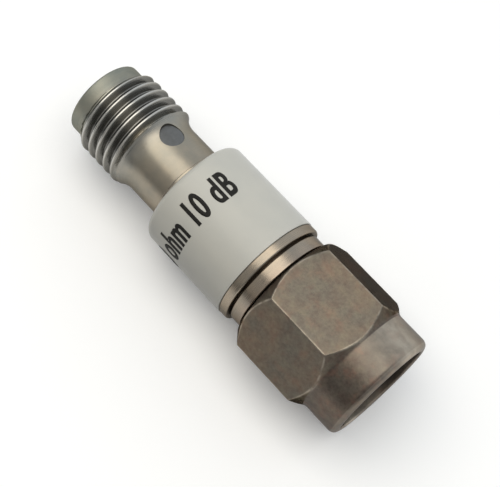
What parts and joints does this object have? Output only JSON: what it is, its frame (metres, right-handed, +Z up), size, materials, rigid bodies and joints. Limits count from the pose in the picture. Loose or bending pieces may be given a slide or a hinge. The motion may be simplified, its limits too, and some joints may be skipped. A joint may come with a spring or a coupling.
{
  "type": "rf attenuator",
  "caption": "In-line coaxial attenuator with a threaded jack at one end, a sleeved round body and a plug with a turning hexagon coupling nut at the other.",
  "frame": {"origin": "centre of the bounding box in plan, at the height of the hexagon flat that the part lies on", "axes": "+X along the connector axis from the jack to the plug, +Z up, away from the flat that the part lies on"},
  "size_m": [0.0258, 0.0092, 0.008],
  "materials": {
    "shell_metal": "turned, satin, slightly warm grey",
    "housing_metal": "turned, satin, slightly warm grey",
    "nut_metal": "passivated, dull and mottled brown grey",
    "sleeve": "satin shrunk sleeve",
    "resin": "dull dark grey cast resin",
    "insulator": "waxy white",
    "contact_gold": "gold plated",
    "carrier_brass": "machined",
    "chip": "fired alumina",
    "gasket": "moulded silicone"
  },
  "bodies": {
    "body": {"jack_shell": "shell_metal", "jack_insulator": "insulator", "jack_contact": "contact_gold", "resin_lock": "resin", "housing": "housing_metal", "label_sleeve": "sleeve", "carrier_upper": "carrier_brass", "carrier_lower": "carrier_brass", "attenuator_chip": "chip", "plug_body": "housing_metal", "plug_insulator": "insulator", "plug_contact": "contact_gold", "retaining_ring": "carrier_brass", "gasket": "gasket"},
    "nut": {"coupling_nut": "nut_metal"}
  },
  "joints": [
    {"name": "nut_spin", "type": "hinge", "parent": "body", "child": "nut", "pos_m": [0, 0, 0.004], "axis": [1, 0, 0], "continuous": true}
  ]
}
